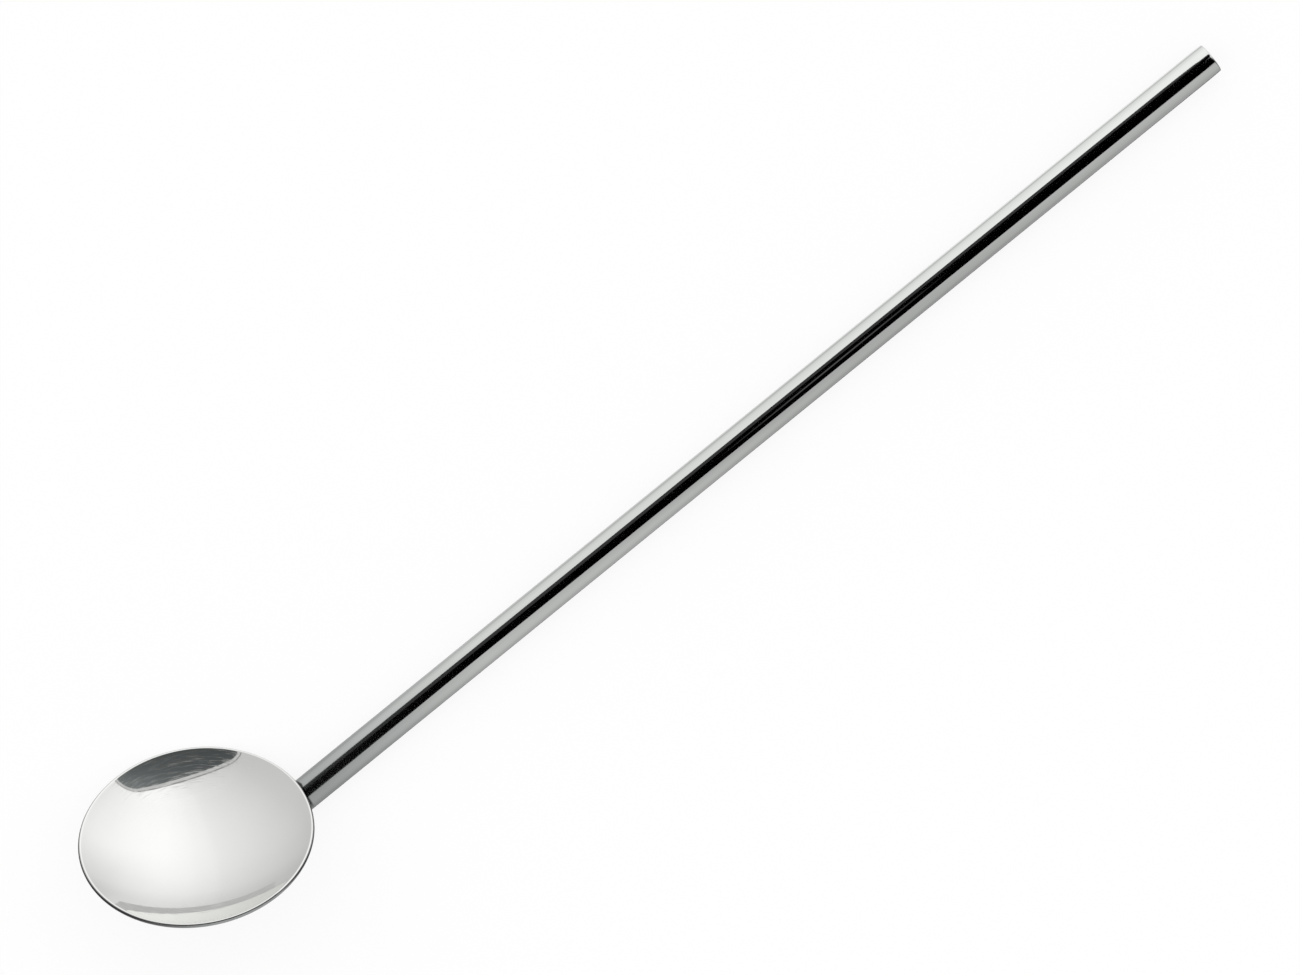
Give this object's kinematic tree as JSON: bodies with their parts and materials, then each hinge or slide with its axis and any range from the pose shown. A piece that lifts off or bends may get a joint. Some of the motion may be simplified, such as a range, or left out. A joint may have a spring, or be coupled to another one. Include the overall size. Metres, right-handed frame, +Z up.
{
  "type": "spoon straw",
  "caption": "Straight metal drinking straw with a shallow round spoon bowl welded on top of its slanted lower end, for sipping a drink and scooping what is in it",
  "frame": {"origin": "On the table that the straw lies on, under the middle of the box that holds the whole straw", "axes": "+X along the straw towards its mouth, +Z up from the table, +Y towards the side where the bowl's rim leans on the table"},
  "size_m": [0.2126, 0.032, 0.0203],
  "materials": {
    "straw_steel": "polished",
    "bowl_steel": "mirror polished",
    "weld_metal": "satin"
  },
  "bodies": {
    "root": {"straw_tube": "straw_steel", "spoon_bowl": "bowl_steel", "weld_bead_near": "weld_metal", "weld_bead_far": "weld_metal"}
  },
  "joints": []
}
